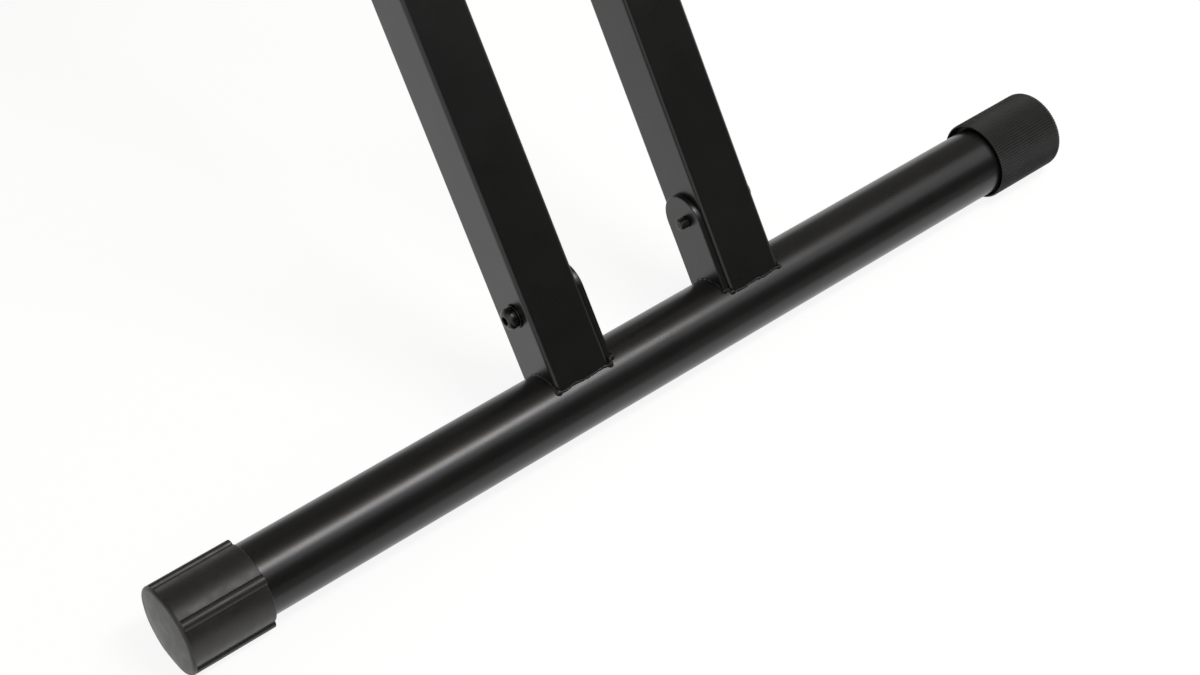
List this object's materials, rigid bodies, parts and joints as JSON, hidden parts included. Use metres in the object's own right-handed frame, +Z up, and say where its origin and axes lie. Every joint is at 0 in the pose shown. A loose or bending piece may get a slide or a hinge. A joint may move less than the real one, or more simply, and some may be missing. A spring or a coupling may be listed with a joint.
{
  "type": "folding keyboard stand",
  "caption": "Folding X-shaped keyboard stand with double square-tube legs, round foot and rest tubes, rubber end caps, levelling caps and a plunger lock at the pivot.",
  "frame": {"origin": "on the floor under the pivot, centre of the bounding box's bottom", "axes": "+Z up, +Y along the feet and the pivot bolt towards the back, +X the way the stand opens, towards the right foot"},
  "size_m": [0.5638, 0.5452, 0.8095],
  "materials": {
    "black_coat": "satin powder coat",
    "cap_rubber": "smooth moulded rubber",
    "ribbed_rubber": "matt ribbed rubber",
    "black_steel": "black oxide",
    "spring_steel": "bright wire",
    "nylon": "matt",
    "knob_plastic": "fine moulded texture"
  },
  "bodies": {
    "right_frame": {"right_foot_tube": "black_coat", "right_front_leg": "black_coat", "right_rear_leg": "black_coat", "right_rest_tube": "black_coat", "right_foot_tabs": "black_coat", "right_rest_tabs": "black_coat", "right_foot_welds": "black_coat", "right_rest_welds": "black_coat", "right_foot_end_cap": "cap_rubber", "right_rest_sleeves": "cap_rubber", "right_rest_end_stops": "cap_rubber", "right_foot_screws": "black_steel", "right_foot_spring_washers": "black_steel", "right_foot_flat_washers": "black_steel", "right_rest_screws": "black_steel", "right_rest_spring_washers": "black_steel", "right_rest_flat_washers": "black_steel", "right_leg_bushes": "nylon", "pivot_bolt": "black_steel", "pivot_nut": "black_steel", "pivot_washers": "black_steel", "pivot_spacer": "black_coat", "index_disc": "black_coat", "friction_washers": "nylon"},
    "left_frame": {"left_foot_tube": "black_coat", "left_front_leg": "black_coat", "left_rear_leg": "black_coat", "left_rest_tube": "black_coat", "left_foot_tabs": "black_coat", "left_rest_tabs": "black_coat", "left_foot_welds": "black_coat", "left_rest_welds": "black_coat", "left_foot_end_cap": "cap_rubber", "left_rest_sleeves": "cap_rubber", "left_rest_end_stops": "cap_rubber", "left_foot_screws": "black_steel", "left_foot_spring_washers": "black_steel", "left_foot_flat_washers": "black_steel", "left_rest_screws": "black_steel", "left_rest_spring_washers": "black_steel", "left_rest_flat_washers": "black_steel", "left_leg_bushes": "nylon", "lock_bush": "black_steel", "lock_sleeve": "black_coat", "lock_spring": "spring_steel"},
    "lock_plunger": {"lock_pin": "black_steel", "lock_knob": "knob_plastic"},
    "right_leveller": {"right_foot_leveller": "ribbed_rubber"},
    "left_leveller": {"left_foot_leveller": "ribbed_rubber"}
  },
  "joints": [
    {"name": "fold", "type": "hinge", "parent": "right_frame", "child": "left_frame", "pos_m": [0, 0, 0.4013], "axis": [0, 1, 0], "range_deg": [-60, 30]},
    {"name": "lock_slide", "type": "slide", "parent": "left_frame", "child": "lock_plunger", "axis": [0, 1, 0], "range_m": [0, 0.004]},
    {"name": "right_leveller_turn", "type": "hinge", "parent": "right_frame", "child": "right_leveller", "pos_m": [0.2559, 0.2475, 0.01905], "axis": [0, 1, 0], "continuous": true},
    {"name": "left_leveller_turn", "type": "hinge", "parent": "left_frame", "child": "left_leveller", "pos_m": [-0.2559, -0.2475, 0.01905], "axis": [0, 1, 0], "continuous": true}
  ]
}
